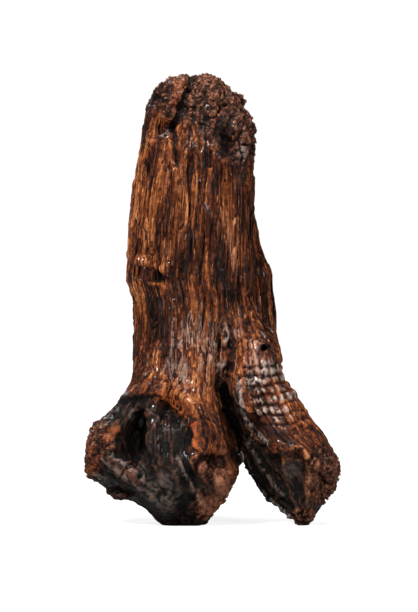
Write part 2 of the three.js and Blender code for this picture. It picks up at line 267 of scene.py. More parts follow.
def facets_at(points, size, seed=0.0):
    """Broken faces, where each crumb is a flat that leans its own way: heights and tints, -0.5 to 0.5."""
    LEAN_SEED = 9.7
    heights, tints = [], []
    for p in points / np.asarray(size) + seed:
        middle = noise.voronoi(Vector(p))[1][0]
        lean = noise.cell_vector(middle * LEAN_SEED) - Vector((0.5, 0.5, 0.5))
        heights.append((Vector(p) - middle).dot(lean) * 2 + lean.x * 0.5)
        tints.append(lean.y)
    return np.array(heights), np.array(tints)


# Crumbs: the rotten crown and knobs break into small leaning faces, and split along clefts
bent = points / MM + 2.5 * np.stack([noise_at(points / MM, 11, s) for s in (1.0, 2.0, 3.0)], axis=1)
crumbs, crumb_tint = facets_at(bent, (6.5, 6.5, 9), 4.0)
bits, bit_tint = facets_at(bent, (3.2, 3.2, 4), 8.0)
clefts = 1 - ease(np.abs(noise_at(bent, (11, 11, 24), 2.5)), 0, 0.11)
lumps = 1.8 * noise_at(bent, (10, 10, 15), 8.0) + 1.0 * noise_at(bent, (3.4, 3.4, 5), 6.5)
sliver = np.abs(noise_at(lay + 0.35 * bent, (2.8, 2.8, 20), 44.0)) * ease(-12 - x, 0, 10)
height += rot * (lumps + 1.2 * crumbs + 1.9 * bits + 2.4 * sliver - 0.6 - 2.6 * clefts)

# Char: long chips and shards, but for the smooth mass low on the left root and the right root's end facet.
# The keel under the hood is ribbed from top to bottom.
chips, chip_tint = facets_at(bent, (7, 7, 15), 1.0)
shards = np.abs(noise_at(lay, (3.6, 3.6, 26), 14.0))
low_mass = 1 - ease(in_patch(points, (-33, 20), (18, 21)), 0.6, 1.2)
end_facet = 1 - ease(in_patch(points, (54.4, 38), (9, 13)), 0.6, 1.1)
rough = 1 - 0.9 * np.maximum(low_mass, end_facet)
keel = 1 - ease(in_patch(points, (-27, 60), (17, 17)), 0.6, 1.2)
keel_ribs = np.abs(noise_at(points / MM, (2.6, 8, 30), 5.0))
keel_ribs += 0.5 * np.abs(noise_at(points / MM, (2.2, 5, 7), 9.0))
height += charred * rough * (1.6 * (1 - 0.7 * keel) * chips + 0.6 * bits + 2.4 * shards - 0.9)
height += charred * keel * (4.2 * keel_ribs - 1.6)

# The folds pressed across the right root, with sharp furrows between rounded pads
FOLD_PITCH = 6.4
LOWEST_FOLD = 62
HIGHEST_FOLD = 112
RIB_PITCH = 4.8
fold = z - 0.1 * x + 2.4 * noise_at(points / MM, 14, 6.0) + 1.1 * noise_at(points / MM, 5, 16.0)
pads = np.abs(np.sin(np.pi * (fold - 103) / FOLD_PITCH)) ** 0.6
on_folds = (~left_side) * ease(z, LOWEST_FOLD, LOWEST_FOLD + 6) * ease(HIGHEST_FOLD - z, 0, 6)
on_folds = on_folds * front * (1 - inner_face) * ease(-inward, 1, 9)
stray = 2.2 * noise_at(points / MM, 12, 3.0) + 1.2 * noise_at(points / MM, (4, 4, 6), 23.0)
ribs = np.abs(np.sin(np.pi * (grain[:, 0] + stray) / RIB_PITCH)) ** 0.6
height += on_folds * (1.9 * pads + 0.9 * ribs - 1.9)


def from_path(points, path):
    """How far each point is from a path on the front, which is given as pairs of across and up (mm)."""
    flat = points[:, [0, 2]] / MM
    nearest = np.full(len(flat), 1e9)
    for a, b in zip(np.array(path[:-1], float), np.array(path[1:], float)):
        t = np.clip((flat - a) @ (b - a) / ((b - a) @ (b - a)), 0, 1)
        nearest = np.minimum(nearest, np.linalg.norm(flat - a - t[:, None] * (b - a), axis=1))
    return nearest


def ledge(points, path, height, width, rag):
    """A step along a path on the front: raised on the left of the way, and falling off over a width (mm)."""
    flat = points[:, [0, 2]] / MM + rag[:, None]
    nearest = np.full(len(flat), 1e9)
    side = np.zeros(len(flat))
    for a, b in zip(np.array(path[:-1], float), np.array(path[1:], float)):
        way = b - a
        t = np.clip((flat - a) @ way / (way @ way), 0, 1)
        off = flat - a - t[:, None] * way
        far = np.linalg.norm(off, axis=1)
        closer = far < nearest
        nearest = np.where(closer, far, nearest)
        side = np.where(closer, np.sign(way[0] * off[:, 1] - way[1] * off[:, 0]), side)
    run_out = np.minimum(
        np.linalg.norm(flat - np.array(path[0], float), axis=1),
        np.linalg.norm(flat - np.array(path[-1], float), axis=1),
    )
    step = ease(side * nearest, -0.6, 0.6) * np.exp(-nearest / width)
    return height * step * ease(run_out, 0, 4)


# What broke away or wore down, on the front, in mm and degrees. Steps: a path, a rise and a width. Strokes,
# which are ridges or furrows: a path, a width and a rise. Hollows and swellings: a middle, half a size, a
# turn and a rise.
STEPS = [
    (
        [
            (-68, 70), (-62, 82), (-52, 86), (-43, 88), (-35, 86.5), (-28, 81), (-23, 76), (-16.5, 71),
            (-12.7, 66), (-11.5, 58), (-12.5, 51),
        ],
        3.6,
        12,
    ),
    ([(-13, 50), (-5, 51.5), (6, 50), (12, 46)], 3.0, 8),
    ([(-48, 36), (-58, 43), (-69, 50.5)], 3.4, 8),
    ([(-74, 47), (-56, 33), (-39, 19)], 3.2, 7),
    ([(-44, 72), (-43.4, 60), (-42.6, 48)], 2.2, 7),
    ([(18, 108), (18.5, 91), (19.8, 73), (26, 62), (33, 57), (39.4, 51), (46.4, 49)], 2.4, 6),
    ([(46, 51), (53, 53), (60, 49.5), (67, 41)], 3.2, 7),
    ([(-1, 120), (0, 108), (0.5, 98), (2, 88)], -1.6, 7),
]
STROKES = [
    ([(-22.5, 46.5), (-18, 37.5), (-12.7, 27), (-8.2, 16.4)], 2.6, 1.8),
    ([(-18, 48), (-12, 37.5), (-8, 27)], 2.4, 1.6),
    ([(-27, 47), (-24, 36), (-22, 24)], 2.2, 1.2),
    ([(-12.7, 51.8), (-13.5, 43.5), (-6, 35.5), (2.4, 32.2), (5.4, 27)], 4.0, 2.8),
    ([(-4, 35), (2, 23), (9, 11)], 1.4, -2.0),
    ([(5, 37), (10, 27), (14, 17)], 1.4, -1.8),
    ([(-7, 27), (-3, 17), (2, 7)], 1.3, -1.8),
    ([(-70, 23.8), (-62, 22.5), (-54, 20.5)], 2.0, -3.0),
    ([(19, 48.2), (24, 36), (30.5, 23.4), (41, 13.5), (52, 5)], 1.7, 2.6),
    ([(21.5, 51), (28, 37), (34.5, 25.5), (44, 16.5), (54, 9)], 1.5, 2.4),
    ([(24, 54), (32, 40), (38.5, 29), (47, 20)], 1.5, 2.2),
    ([(26, 58), (36, 45), (42, 36)], 1.5, 1.8),
    ([(63, 45), (64, 30), (60, 12)], 3.0, 2.0),
    ([(12, 132), (13, 116), (12, 103)], 2.2, -3.0),
    ([(-13, 298), (-16.3, 287.7), (-20.3, 278.4), (-23.6, 269), (-27.6, 262.4)], 2.6, -2.4),
    ([(-9, 292), (-12, 280), (-13, 268), (-10, 258)], 1.6, -1.4),
    ([(4, 284), (5, 272), (3, 262)], 1.6, -1.6),
    ([(14, 274), (12, 264), (16, 255)], 1.6, -1.6),
    ([(-34, 284), (-38, 272), (-41, 262)], 1.6, -1.2),
    ([(-25.5, 260), (-24.5, 250), (-23.6, 239)], 1.9, -3.8),
    ([(-1.7, 248), (-1.7, 238)], 1.6, -2.6),
    ([(-50, 169), (-43, 166.5), (-36, 165), (-31, 162.5)], 3.0, -3.0),
    ([(-51, 175), (-43, 174.5), (-35, 171.5)], 3.6, 1.6),
    ([(-52, 184), (-46, 181), (-38, 183)], 2.2, -2.0),
    ([(-42, 160.5), (-38, 160)], 2.2, 1.4),
    ([(-51, 238), (-53, 205), (-54, 178)], 2.4, -1.2),
    ([(-31, 236), (-33, 205), (-34, 178), (-37, 150)], 2.2, -1.4),
    ([(6, 236), (7, 205), (5, 176), (3, 150)], 2.2, -1.4),
    ([(18, 232), (17, 205), (18, 170), (17, 150)], 2.2, -1.4),
]
HOLLOWS = [
    ((54.4, 38.5), (9, 12), 0, -1.2),
    ((1, 44), (10, 5), -20, -1.0),
    ((-63.3, 66), (4, 4), 0, 2.2),
    ((-70, 59), (4, 4), 0, 2.0),
    ((-76.8, 46), (5, 5), 0, 2.2),
    ((-80, 35), (5, 5), 0, 2.0),
    ((-70, 33), (11, 6), -25, -1.8),
    ((4, 93), (5, 8), 0, -1.6),
    ((-33, 20), (12, 14), 0, 1.6),
    ((-37, 32), (8, 7), 0, 1.0),
]
NEARLY_TOUCHING = ((19, 43), (6, 8))  # where the two front roots come close, so no relief is added
carved = np.zeros(len(points))
for path, rise, width in STEPS:
    carved += ledge(points, path, rise, width, 0.5 * torn)
for path, width, rise in STROKES:
    carved += rise * (1 - ease(from_path(points, path), 0, 1.5 * width))
for at, half, turn, rise in HOLLOWS:
    carved += rise * (1 - ease(in_patch(points, at, half, turn), 0.5, 1.1))
normals = read_normals()
height += carved * front * ease(-normals[:, 1], 0.0, 0.5)
height *= 1 - np.maximum(keep, 1 - ease(in_patch(points, *NEARLY_TOUCHING), 0.5, 1))
points = points + normals * height[:, None] * MM
points[:, 2] = np.maximum(points[:, 2], 0)
softened = np.maximum(rot, 0.6 * charred) * (1 - keep)
points += (relaxed(points, 1, 0.4) - points) * softened[:, None]
write_points(points)

# How far each place stands out of its surroundings (mm). This also gives painted shade: the wood is painted
# darker in its furrows and hollows, and lighter where it stands out
NEAR = 4  # passes, about 2 mm round a place
WIDE = 40  # passes, about 6 mm round it
normals = read_normals()
near_relief_shade = ((points - relaxed(points, NEAR)) * normals).sum(axis=1) / MM
wide_relief_shade = ((points - relaxed(points, WIDE)) * normals).sum(axis=1) / MM
# Painted shade, from how far each place stands out
near_shade_level = np.clip(0.5 + 0.9 * near_relief_shade, 0, 1)
wide_shade_level = np.clip(0.5 + 0.22 * wide_relief_shade, 0, 1)


def paint(name, values):
    """Stores a number at every point, for the material."""
    layer = mesh.attributes.new(name, "FLOAT", "POINT")
    layer.data.foreach_set("value", np.ascontiguousarray(values, dtype=np.float32))


layer = mesh.attributes.new("grain", "FLOAT_VECTOR", "POINT")
layer.data.foreach_set("vector", (lay * MM).astype(np.float32).ravel())
paint("rot", rot)
paint("charred", charred)
paint("near_relief_shade", near_shade_level)
paint("wide_relief_shade", wide_shade_level)

# The orange flush of fresh wood: a path, a width (mm) and its strength
ORANGE = [
    ([(-36, 86), (-28, 84), (-20, 78), (-14, 71), (-11.5, 62), (-11, 53)], 4.0, 1.0),
    ([(-19.6, 293), (-24, 286), (-26, 277)], 2.2, 0.55),
    ([(-6, 60), (2, 52), (10, 44), (14, 36)], 4.0, 0.5),
    ([(-52, 232), (-54, 200), (-55, 180)], 3.0, 0.4),
    ([(-64, 66), (-70, 60)], 3.0, 0.7),
    ([(-82, 52), (-78, 44), (-82, 36)], 4.0, 0.7),
    ([(6, 46), (16, 36), (18, 26)], 3.0, 0.5),
]
orange = np.zeros(len(points))
for path, width, amount in ORANGE:
    orange = np.maximum(orange, amount * front * np.exp(-((from_path(points, path) / width) ** 2)))
orange *= 0.3 + 0.7 * ease(noise_at(points / MM, (3.4, 3.4, 5), 33.0), -0.2, 0.25)
paint("orange", orange)

# Lighter and darker places on the front: a middle and half a size (mm), a turn (degrees), and the change.
# Some of them are painted light and shade, as marked below
TONES_AND_PAINTED_LIGHT = [
    # painted shade on the trunk's right side, which faces away from the light
    ((32, 160), (10, 55), 4, -0.25),
    # painted light along the trunk's lit left edge
    ((-47.5, 225), (3.5, 30), 5, 0.35),
    # painted shade in the knot's hollow
    ((-41, 166), (11, 5), -12, -1.10),
    ((-34, 130), (8, 30), 4, -0.22),
    ((-48, 120), (4, 26), 0, -0.15),
    ((2, 160), (6, 18), -8, -0.15),
    ((-6, 232), (9, 12), 0, -0.15),
    ((22, 132), (5, 10), 20, -0.35),
    ((-43, 178), (10, 5), 0, 0.12),
    ((-38, 160), (4, 2), 0, 0.50),
    ((21, 88), (5, 18), -8, -0.40),
    # painted shade inside the bored hole
    ((33, 118), (1.9, 2.1), 0, -2.0),
    ((22, 215), (7, 30), 0, -0.18),
    ((2, 198), (7, 16), 0, -0.20),
    ((-34, 138), (12, 14), 0, -0.05),
    ((-42, 276), (7, 22), -12, -0.35),
    ((8, 118), (5, 12), 0, -0.25),
    ((40, 57), (20, 8), -38, -0.60),
    ((61, 58), (22, 9), -40, -0.30),
    ((33, 118), (6, 6), 0, -0.25),
    ((0, 30), (11, 18), 0, 0.35),
    ((-60, 80), (16, 8), 45, -0.30),
    ((-44, 92), (14, 8), 0, -0.34),
    ((-72, 60), (9, 9), 0, 0.20),
    # painted shade in the pocket under the crown and in the groove below it
    ((8, 260), (5, 12), 0, -0.55),
    ((6, 245), (9, 3), 0, -0.40),
    ((0, 52), (12, 6), 0, -0.20),
    # painted highlight on the right root's end facet
    ((54, 38), (9, 13), 0, 0.65),
    ((-47, 100), (9, 22), 0, -0.12),
    ((-22, 215), (5, 26), 0, 0.22),
    ((-28, 186), (5, 14), 0, 0.20),
    ((-51, 211), (3, 30), 0, 0.32),
    # painted highlight on the trunk
    ((15, 191), (6, 11), 0, 0.28),
    # painted sheen on the light patch low on the trunk
    ((-12, 128), (6, 14), 0, 0.32),
    ((-18, 98), (9, 14), 20, 0.10),
    ((-8, 70), (13, 15), 0, -0.22),
    ((2, 18), (14, 13), 0, 1.0),
    ((8, 32), (7, 10), 0, 0.6),
    ((75, 33), (13, 24), 0, 0.15),
]
patches = 0.45 * noise_at(lay, (5, 5, 55), 4.4) + 0.5 * noise_at(lay, (17, 17, 34), 31.0)
for at, half, turn, amount in TONES_AND_PAINTED_LIGHT:
    patches += amount * front * (1 - ease(in_patch(points, at, half, turn) + 0.05 * ragged, 0.5, 1.3))
broken_tint = 0.35 * rot * (0.6 * crumb_tint + 0.6 * bit_tint) + 0.3 * charred * chip_tint
# The tint carries the painted light and shade marked above
paint("tint", 0.45 + patches + broken_tint)

# Painted sheen, light grey reflections of the lights on the wet wood: on the tops of the folds, in patches,
# and along edges, each with its strength
SHEEN_PATCHES = [
    ((27, 108), (6, 12), 10, 0.4),
    ((4, 105), (7, 6), 0, 1.0),
    ((54, 38), (8, 12), 0, 0.3),
    ((4, 93), (4, 6), 0, 0.4),
    ((-13, 128), (8, 14), 0, 0.8),
    ((-22, 104), (9, 16), 20, 0.5),
    ((-4, 112), (6, 18), 0, 0.4),
    ((9, 127), (11, 8), 0, 0.6),
    ((36, 104), (8, 8), 0, 0.8),
    ((14, 192), (6, 9), 0, 0.25),
    ((-33, 260), (5, 4), 0, 0.7),
    ((20, 248), (4, 8), 0, 0.5),
    ((-53, 74), (2.5, 5), 0, 0.45),
    ((-74, 32), (7, 4), -20, 0.6),
    ((-32, 22), (13, 18), 0, 0.28),
]
SHEEN_EDGES = [
    ([(-68, 50), (-58, 43), (-48, 36)], 0.35),
    ([(-74, 46.5), (-56, 33), (-40, 20)], 0.3),
    ([(-22.5, 46.5), (-18, 37.5), (-12.7, 27), (-8.2, 16.4)], 0.35),
    ([(19, 48.2), (24, 36), (30.5, 23.4), (41, 13.5), (52, 5)], 0.5),
    ([(24, 54), (32, 40), (38.5, 29), (47, 20)], 0.35),
    ([(17, 98), (18.5, 84), (21.5, 72), (28, 63), (37, 56)], 0.9),
    ([(-50, 36), (-40, 26), (-36, 14)], 0.3),
]
fold_sheen = on_folds * ease(pads * ribs, 0.45, 0.85) * ease(noise_at(points / MM, 7, 12.0), -0.2, 0.15)
painted_sheen = fold_sheen * (1 - ease(in_patch(points, (38, 86), (20, 24), -30), 0.7, 1.2))
for at, half, turn, amount in SHEEN_PATCHES:
    sheen_mask = 1 - ease(in_patch(points, at, half, turn), 0.4, 1.1)
    painted_sheen = np.maximum(painted_sheen, amount * front * sheen_mask)
for path, amount in SHEEN_EDGES:
    sheen_mask = 1 - ease(from_path(points, path), 0.2, 1.2 + 1.4 * amount)
    painted_sheen = np.maximum(painted_sheen, amount * front * sheen_mask)
paint("painted_sheen", painted_sheen)

bpy.ops.object.shade_smooth()

# The damp wood's colours. Long fibres are noise drawn out along the grain.
fibre_group = bpy.data.node_groups.new("long_fibres", "ShaderNodeTree")
for name, kind, way in (
    ("Grain", "NodeSocketVector", "INPUT"),
    ("Width", "NodeSocketFloat", "INPUT"),
    ("Stretch", "NodeSocketFloat", "INPUT"),
    ("Fibre", "NodeSocketFloat", "OUTPUT"),
):
    fibre_group.interface.new_socket(name, in_out=way, socket_type=kind)


def place(tree, kind, **settings):
    """Adds a node and sets its properties."""
    node = tree.nodes.new(kind)
    for key, value in settings.items():
        setattr(node, key, value)
    return node


def feed(tree, node, **values):
    """Sets or links a node's inputs, which go by name, with _ for a space, or by number, as n0 or n1."""
    for key, value in values.items():
        numbered = key[0] == "n" and key[1:].isdigit()
        socket = node.inputs[int(key[1:]) if numbered else key.replace("_", " ")]
        if isinstance(value, bpy.types.NodeSocket):
            tree.links.new(value, socket)
        else:
            socket.default_value = value
    return node


group_in = place(fibre_group, "NodeGroupInput")
group_out = place(fibre_group, "NodeGroupOutput")
squeeze = place(fibre_group, "ShaderNodeMath", operation="DIVIDE")
feed(fibre_group, squeeze, n0=1.0, n1=group_in.outputs["Stretch"])
drawn = feed(fibre_group, place(fibre_group, "ShaderNodeCombineXYZ"), X=1.0, Y=1.0, Z=squeeze.outputs[0])
lengthened = place(fibre_group, "ShaderNodeVectorMath", operation="MULTIPLY")
feed(fibre_group, lengthened, n0=group_in.outputs["Grain"], n1=drawn.outputs[0])
thin = place(fibre_group, "ShaderNodeMath", operation="DIVIDE")
feed(fibre_group, thin, n0=1.0, n1=group_in.outputs["Width"])
strands = place(fibre_group, "ShaderNodeTexNoise")
feed(fibre_group, strands, Vector=lengthened.outputs[0], Scale=thin.outputs[0], Detail=3.0, Roughness=0.6)
fibre_group.links.new(strands.outputs["Fac"], group_out.inputs["Fibre"])


def ramp(tree, value, stops, mode="LINEAR"):
    """A colour ramp with (place, colour) stops, fed by a value."""
    node = place(tree, "ShaderNodeValToRGB")
    node.color_ramp.interpolation = mode
    while len(node.color_ramp.elements) < len(stops):
        node.color_ramp.elements.new(0.5)
    for element, (where, colour) in zip(node.color_ramp.elements, stops):
        element.position = where
        element.color = (*colour, 1) if isinstance(colour, tuple) else (colour, colour, colour, 1)
    tree.links.new(value, node.inputs["Fac"])
    return node.outputs["Color"]


def blend(tree, share, first, second, kind="RGBA", how="MIX"):
    """Mixes two colours or values."""
    node = place(tree, "ShaderNodeMix", data_type=kind)
    if kind == "RGBA":
        node.blend_type = how
    sockets = [s for s in node.inputs if s.enabled]
    for socket, value in zip(sockets, (share, first, second)):
        if isinstance(value, bpy.types.NodeSocket):
            tree.links.new(value, socket)
        else:
            socket.default_value = value
    return next(s for s in node.outputs if s.enabled)


def total(tree, *terms):
    """A weighted sum: pairs of a value and its weight."""
    result = None
    for value, weight in terms:
        node = place(tree, "ShaderNodeMath", operation="MULTIPLY_ADD")
        tree.links.new(value, node.inputs[0])
        node.inputs[1].default_value = weight
        if result is None:
            node.inputs[2].default_value = 0
        else:
            tree.links.new(result, node.inputs[2])
        result = node.outputs[0]
    return result


damp_wood = bpy.data.materials.new("damp_mangrove")
damp_wood.use_nodes = True
tree = damp_wood.node_tree
surface = tree.nodes["Principled BSDF"]


def painted(name, output="Fac"):
    """A number or a vector that is stored at the points."""
    node = place(tree, "ShaderNodeAttribute", attribute_name=name)
    return node.outputs[output]


def fibres(width, stretch):
    """Fibres of a width, drawn out so many times."""
    node = place(tree, "ShaderNodeGroup", node_tree=fibre_group)
    feed(tree, node, Grain=painted("grain", "Vector"), Width=width, Stretch=stretch)
    return node.outputs["Fibre"]


hair = fibres(0.6 * MM, 30)
strand = fibres(1.6 * MM, 26)
band = fibres(8 * MM, 6)
local = place(tree, "ShaderNodeTexCoord").outputs["Object"]
grit = place(tree, "ShaderNodeTexNoise")
grit = feed(tree, grit, Vector=local, Scale=900.0, Detail=4.0, Roughness=0.65).outputs["Fac"]
blotch = place(tree, "ShaderNodeTexNoise")
blotch = feed(tree, blotch, Vector=local, Scale=70.0, Detail=4.0, Roughness=0.6).outputs["Fac"]
# Painted shade: darker in furrows and hollows, lighter where the wood stands out
near = painted("near_relief_shade")
wide = painted("wide_relief_shade")
tint = painted("tint")
crumble = place(tree, "ShaderNodeTexNoise")
crumble = feed(tree, crumble, Vector=local, Scale=380.0, Detail=6.0, Roughness=0.72).outputs["Fac"]

# Sound, rotten and charred wood are each a sum, a factor that brings it within a ramp, and the ramp's colours
TRUNK_LEVEL = 0.221
ROT_LEVEL = 0.268
CHAR_LEVEL = 0.407
# Each sum takes in the near and wide relief, which is painted shade: darker in furrows and hollows, lighter
# where the wood stands out
tone = total(
    tree, (hair, 0.9), (strand, 0.9), (band, 0.3), (near, 0.5), (wide, 0.45), (tint, 0.55), (crumble, 1.1),
    (blotch, 0.2),
)
trunk_colour = ramp(
    tree,
    total(tree, (tone, TRUNK_LEVEL)),
    [
        (0.43, (0.002, 0.001, 0.0008)),
        (0.49, (0.022, 0.006, 0.0025)),
        (0.55, (0.088, 0.019, 0.0060)),
        (0.61, (0.280, 0.076, 0.0170)),
        (0.69, (0.620, 0.275, 0.110)),
    ],
)
rot_tone = total(tree, (crumble, 1.4), (grit, 1.3), (blotch, 0.3), (near, 0.45), (wide, 0.3), (tint, 0.45))
rot_colour = ramp(
    tree,
    total(tree, (rot_tone, ROT_LEVEL)),
    [
        (0.45, (0.003, 0.0015, 0.001)),
        (0.54, (0.018, 0.0058, 0.003)),
        (0.61, (0.068, 0.022, 0.011)),
        (0.72, (0.300, 0.118, 0.064)),
    ],
)
char_tone = total(tree, (crumble, 0.5), (blotch, 0.3), (near, 0.7), (strand, 0.5), (wide, 0.3), (tint, 0.3))
char_colour = ramp(
    tree,
    total(tree, (char_tone, CHAR_LEVEL)),
    [
        (0.40, (0.001, 0.001, 0.001)),
        (0.52, (0.005, 0.003, 0.002)),
        (0.61, (0.028, 0.011, 0.006)),
        (0.76, (0.120, 0.040, 0.020)),
    ],
)
colour = blend(tree, painted("rot"), trunk_colour, rot_colour)
colour = blend(tree, painted("charred"), colour, char_colour)

# The orange flush shows on the lighter fibres, and the painted sheen where the surface is high
lit = place(tree, "ShaderNodeMath", operation="MULTIPLY")
flush = ramp(tree, total(tree, (tone, TRUNK_LEVEL)), [(0.46, 0.0), (0.60, 0.8)])
feed(tree, lit, n0=painted("orange"), n1=flush)
colour = blend(tree, lit.outputs[0], colour, (0.400, 0.082, 0.015, 1))
sheen_mask = total(tree, (crumble, 0.35), (strand, 0.25), (blotch, 0.15), (near, 0.25))
sheen_mask = ramp(tree, sheen_mask, [(0.47, 0.0), (0.58, 1.0)])
sheen_share = place(tree, "ShaderNodeMath", operation="MULTIPLY")
feed(tree, sheen_share, n0=painted("painted_sheen"), n1=sheen_mask)
# The painted sheen's light grey
colour = blend(tree, sheen_share.outputs[0], colour, (0.42, 0.34, 0.29, 1))
tree.links.new(colour, surface.inputs["Base Color"])

# Gloss and water come in patches. The water beads on hair and grit, and less on rot.
gloss = ramp(tree, total(tree, (strand, 0.5), (blotch, 0.5)), [(0.38, 0.28), (0.62, 0.70)])
tree.links.new(gloss, surface.inputs["Roughness"])
wet = ramp(tree, total(tree, (band, 0.35), (blotch, 0.65)), [(0.47, 0.0), (0.60, 1.0)])
dry = place(tree, "ShaderNodeMath", operation="MULTIPLY_ADD")
feed(tree, dry, n0=painted("rot"), n1=-0.55, n2=1.0)
beads = ramp(tree, total(tree, (hair, 0.4), (grit, 0.6)), [(0.47, 0.05), (0.56, 0.9)])
beaded = place(tree, "ShaderNodeMath", operation="MULTIPLY")
feed(tree, beaded, n0=wet, n1=beads)
damp = place(tree, "ShaderNodeMath", operation="MULTIPLY")
feed(tree, damp, n0=beaded.outputs[0], n1=dry.outputs[0])
tree.links.new(damp.outputs[0], surface.inputs["Coat Weight"])
surface.inputs["Coat Roughness"].default_value = 0.16
surface.inputs["Specular IOR Level"].default_value = 0.12
height_map = total(tree, (hair, 0.6), (strand, 0.7), (grit, 0.5), (crumble, 1.1))
bump = feed(tree, place(tree, "ShaderNodeBump"), Strength=1.0, Distance=1.5 * MM, Height=height_map)
tree.links.new(bump.outputs["Normal"], surface.inputs["Normal"])
mesh.materials.clear()
mesh.materials.append(damp_wood)

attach(wood, "root")
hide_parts("driftwood")

# The open fibres, the bark flakes and the fibre bits. Where the soft wood has washed out, strands of hard
# wood stand clear. Each is a thin three-sided splinter that follows the grain and sinks in at both ends.

FAR_OFF = 6  # a strand ends where the wood is further off than this (mm),
LEAP = 2.6  # where it would move on by this many steps at once,
CLEARANCE = 1.5  # and this near to a bare place: char, rot, a fold, a hollow or the hole (mm)
ROOTED = 0.3  # how deep its two lower edges lie in the wood (mm)
LOW_EDGE_SHADE = 0.15  # the level of painted shade at those edges, which are painted dark,
CREST_SHADE = 0.8  # and along its crest, which is painted light
rng = np.random.default_rng(7)
surface_tree = BVHTree.FromObject(wood, bpy.context.evaluated_depsgraph_get())

# Strands keep off char, rot, folds and hollows, and off the bored hole
sunken = (wide_relief_shade < -1.5) | (carved * front < -2.2)
bare_points = points[(charred > 0.4) | (rot > 0.6) | (on_folds > 0.6) | sunken | (to_hole < 4.2)]
bare = KDTree(len(bare_points))
for k, p in enumerate(bare_points):
    bare.insert(p, k)
bare.balance()


def place_of(across, z):
    """The way back: where a fibre is at a height (mm)."""
    left, right = between_rows(TRUNK, z, 1), between_rows(TRUNK, z, 2)
    parting = between_rows(PARTING, z)
    in_trunk = across * (right - left) / ACROSS_TRUNK + (left + right) / 2
    in_left = parting - (SPLIT - across) * (parting - left) / ACROSS_LEFT
    in_right = across - SPLIT + between_rows(ROOT_EDGE, z)
    return np.where(z >= FORK, in_trunk, np.where(across < SPLIT, in_left, in_right))


def strand_runs(starts, lengths, step):
    """Follows the grain from each start: each strand's number, and its places with their normals."""
    runs = []
    strays = wander_at(starts)[:, 0]
    homes = across_grain(starts[:, 0] / MM, starts[:, 2] / MM)
    for which, (start, length, stray, home) in enumerate(zip(starts, lengths, strays, homes)):
        count = max(3, int(length / step))
        top = start[2] / MM + length / 2
        place_now = Vector(start)
        run = []
        for k in range(count + 1):
            z = top - k * length / count
            here = wander_at(np.array([place_now]))[0, 0]
            x = float(place_of(home + stray - here, z))
            guess = Vector((x * MM, place_now.y, z * MM))
            hit, normal, _, gap = surface_tree.find_nearest(guess)
            if hit is None or gap > FAR_OFF * MM:
                break
            if run and (hit - run[-1][0]).length > LEAP * step * MM:
                break
            if bare.find(hit)[2] < CLEARANCE * MM:
                break
            run.append((hit, normal))
            place_now = hit
        if len(run) > 2:
            runs.append((which, run))
    return runs


def splinters(name, starts, lengths, widths, lifts, step, stains_and_shade):
    """One mesh of tapered three-sided strands, each coloured by its own values, which carry painted shade and
    painted sheen as well.
    """
    corners, faces, lays, strand_shades = [], [], [], []
    strand_stains_and_shade = {label: [] for label in stains_and_shade}
    for which, run in strand_runs(starts, lengths, step):
        width, lift = widths[which], lifts[which]
        first = len(corners)
        shift = rng.uniform(-40, 40, 2)
        last = len(run) - 1
        for k, (place_here, normal) in enumerate(run):
            ahead = run[min(k + 1, last)][0] - run[max(k - 1, 0)][0]
            side = ahead.cross(normal).normalized()
            taper = math.sin(math.pi * (k + 0.35) / (last + 0.7)) ** 0.6
            half = side * width * MM * 0.5 * taper
            crest = normal * lift * MM * (taper * 1.3 - 0.3)
            depth = normal * ROOTED * MM
            low_left = place_here - half - depth
            low_right = place_here + half - depth
            three = ((low_left, LOW_EDGE_SHADE), (place_here + crest, CREST_SHADE), (low_right, LOW_EDGE_SHADE))
            for corner, relief in three:
                corners.append(corner)
                strand_shades.append(relief)
                for label, values in stains_and_shade.items():
                    strand_stains_and_shade[label].append(values[which])
                lays.append((shift[0] + corner.x / MM, shift[1], corner.z / MM))
        for k in range(last):
            a = first + 3 * k
            for i in range(3):
                j = (i + 1) % 3
                faces.append((a + i, a + 3 + i, a + 3 + j, a + j))
        faces.append((first, first + 1, first + 2))
        end = first + 3 * last
        faces.append((end + 2, end + 1, end))
    net = bpy.data.meshes.new(name)
    net.from_pydata(corners, [], faces)
    piece = bpy.data.objects.new(name, net)
    bpy.context.scene.collection.objects.link(piece)
    layer = net.attributes.new("grain", "FLOAT_VECTOR", "POINT")
    layer.data.foreach_set("vector", (np.array(lays) * MM).astype(np.float32).ravel())
    # Painted shade: dark along the buried edges, light along the crest
    strand_stains_and_shade["near_relief_shade"] = strand_shades
    for label, values in strand_stains_and_shade.items():
        layer = net.attributes.new(label, "FLOAT", "POINT")
        layer.data.foreach_set("value", np.array(values, dtype=np.float32))
    layer = net.attributes.new("wide_relief_shade", "FLOAT", "POINT")
    layer.data.foreach_set("value", np.full(len(corners), 0.5, dtype=np.float32))
    net.materials.append(damp_wood)
    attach(piece, "root")


def spread(weight, count):
    """Random places on the wood, more where the weight is high."""
    share = weight / weight.sum()
    return rng.choice(len(points), count, replace=False, p=share)


